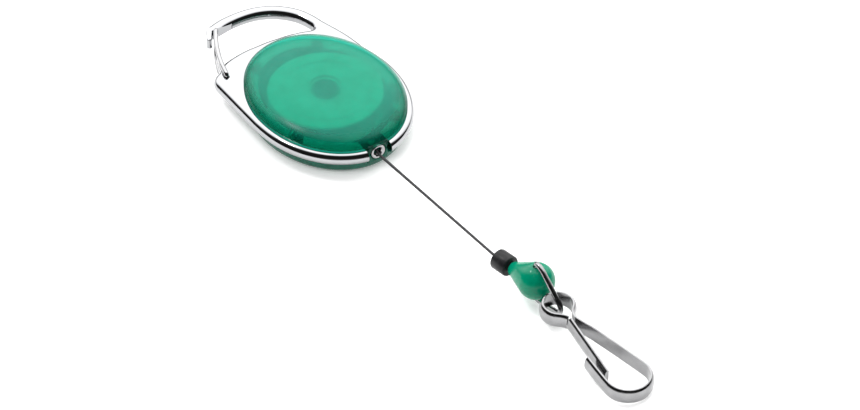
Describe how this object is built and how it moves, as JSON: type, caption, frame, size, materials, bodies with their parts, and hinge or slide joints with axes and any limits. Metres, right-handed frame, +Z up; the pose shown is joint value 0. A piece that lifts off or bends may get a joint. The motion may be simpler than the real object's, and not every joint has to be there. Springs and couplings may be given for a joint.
{
  "type": "retractable badge reel",
  "caption": "Badge reel with a translucent domed case in a chromed carabiner, a sprung cord drum inside, and a swivel snap hook on the cord.",
  "frame": {"origin": "on the drum's axis, on the flat underside of the case", "axes": "+Z up through the domed cover, +Y towards the carabiner's arm, the cord leaves along -Y, the gate is on -X"},
  "size_m": [0.0377, 0.1579, 0.0116],
  "materials": {
    "shell": "smooth translucent green plastic",
    "chrome": "bright chrome plating",
    "steel": "plain steel",
    "drum": "moulded white plastic",
    "cord": "thin black braided cord",
    "black_plastic": "semi-gloss black plastic",
    "ferrule": "crimped brass"
  },
  "bodies": {
    "case": {"top_shell": "shell", "bottom_shell": "shell", "carabiner_frame": "chrome", "spindle": "steel", "lower_washer": "steel", "upper_washer": "steel", "power_spring": "steel", "exit_eyelet": "chrome"},
    "gate": {"gate_wire": "chrome"},
    "cord_drum": {"drum": "drum", "drum_cover": "drum", "wound_cord": "cord", "cord_knot": "cord"},
    "cord_end": {"cord": "cord", "stop_collar": "black_plastic", "end_ferrule": "ferrule"},
    "bulb": {"swivel_bulb": "shell"},
    "bail_loop": {"bail": "chrome"},
    "hook": {"hook_strip": "chrome"},
    "tongue": {"hook_tongue": "chrome"}
  },
  "joints": [
    {"name": "cord_pull", "type": "slide", "parent": "case", "child": "cord_end", "axis": [0.0398, -0.9992, 0], "range_m": [-0.045, 0.755], "deforming": ["cord"]},
    {"name": "drum_spin", "type": "hinge", "parent": "case", "child": "cord_drum", "pos_m": [0, 0, 0.0047], "axis": [0, 0, 1], "range_deg": [-4250, 260]},
    {"name": "gate_swing", "type": "hinge", "parent": "case", "child": "gate", "pos_m": [-0.0152, 0.0178, 0.0047], "axis": [0, 0, -1], "range_deg": [0, 28], "stiffness_Nm_per_rad": 0.003, "springref_deg": -17.19},
    {"name": "bulb_swivel", "type": "hinge", "parent": "cord_end", "child": "bulb", "pos_m": [0.0041, -0.0795, 0.0059], "axis": [0.2467, -0.9677, 0.0523], "continuous": true},
    {"name": "bail_swing", "type": "hinge", "parent": "bulb", "child": "bail_loop", "pos_m": [0.0041, -0.0795, 0.0059], "axis": [0, 0, 1], "range_deg": [-100, 100]},
    {"name": "hook_turn", "type": "hinge", "parent": "bail_loop", "child": "hook", "pos_m": [0.0037, -0.0888, 0.00445], "axis": [-0.0028, 0.0758, -0.9971], "range_deg": [-100, 100]},
    {"name": "tongue_flex", "type": "hinge", "parent": "hook", "child": "tongue", "pos_m": [0.00278, -0.09417, 0.00404], "axis": [0.0028, -0.0758, 0.9971], "range_deg": [0, 12], "stiffness_Nm_per_rad": 0.01, "springref_deg": -5.73}
  ],
  "couplings": [
    {"joint": "drum_spin", "follows": "cord_pull", "rad_per_m": -97}
  ]
}
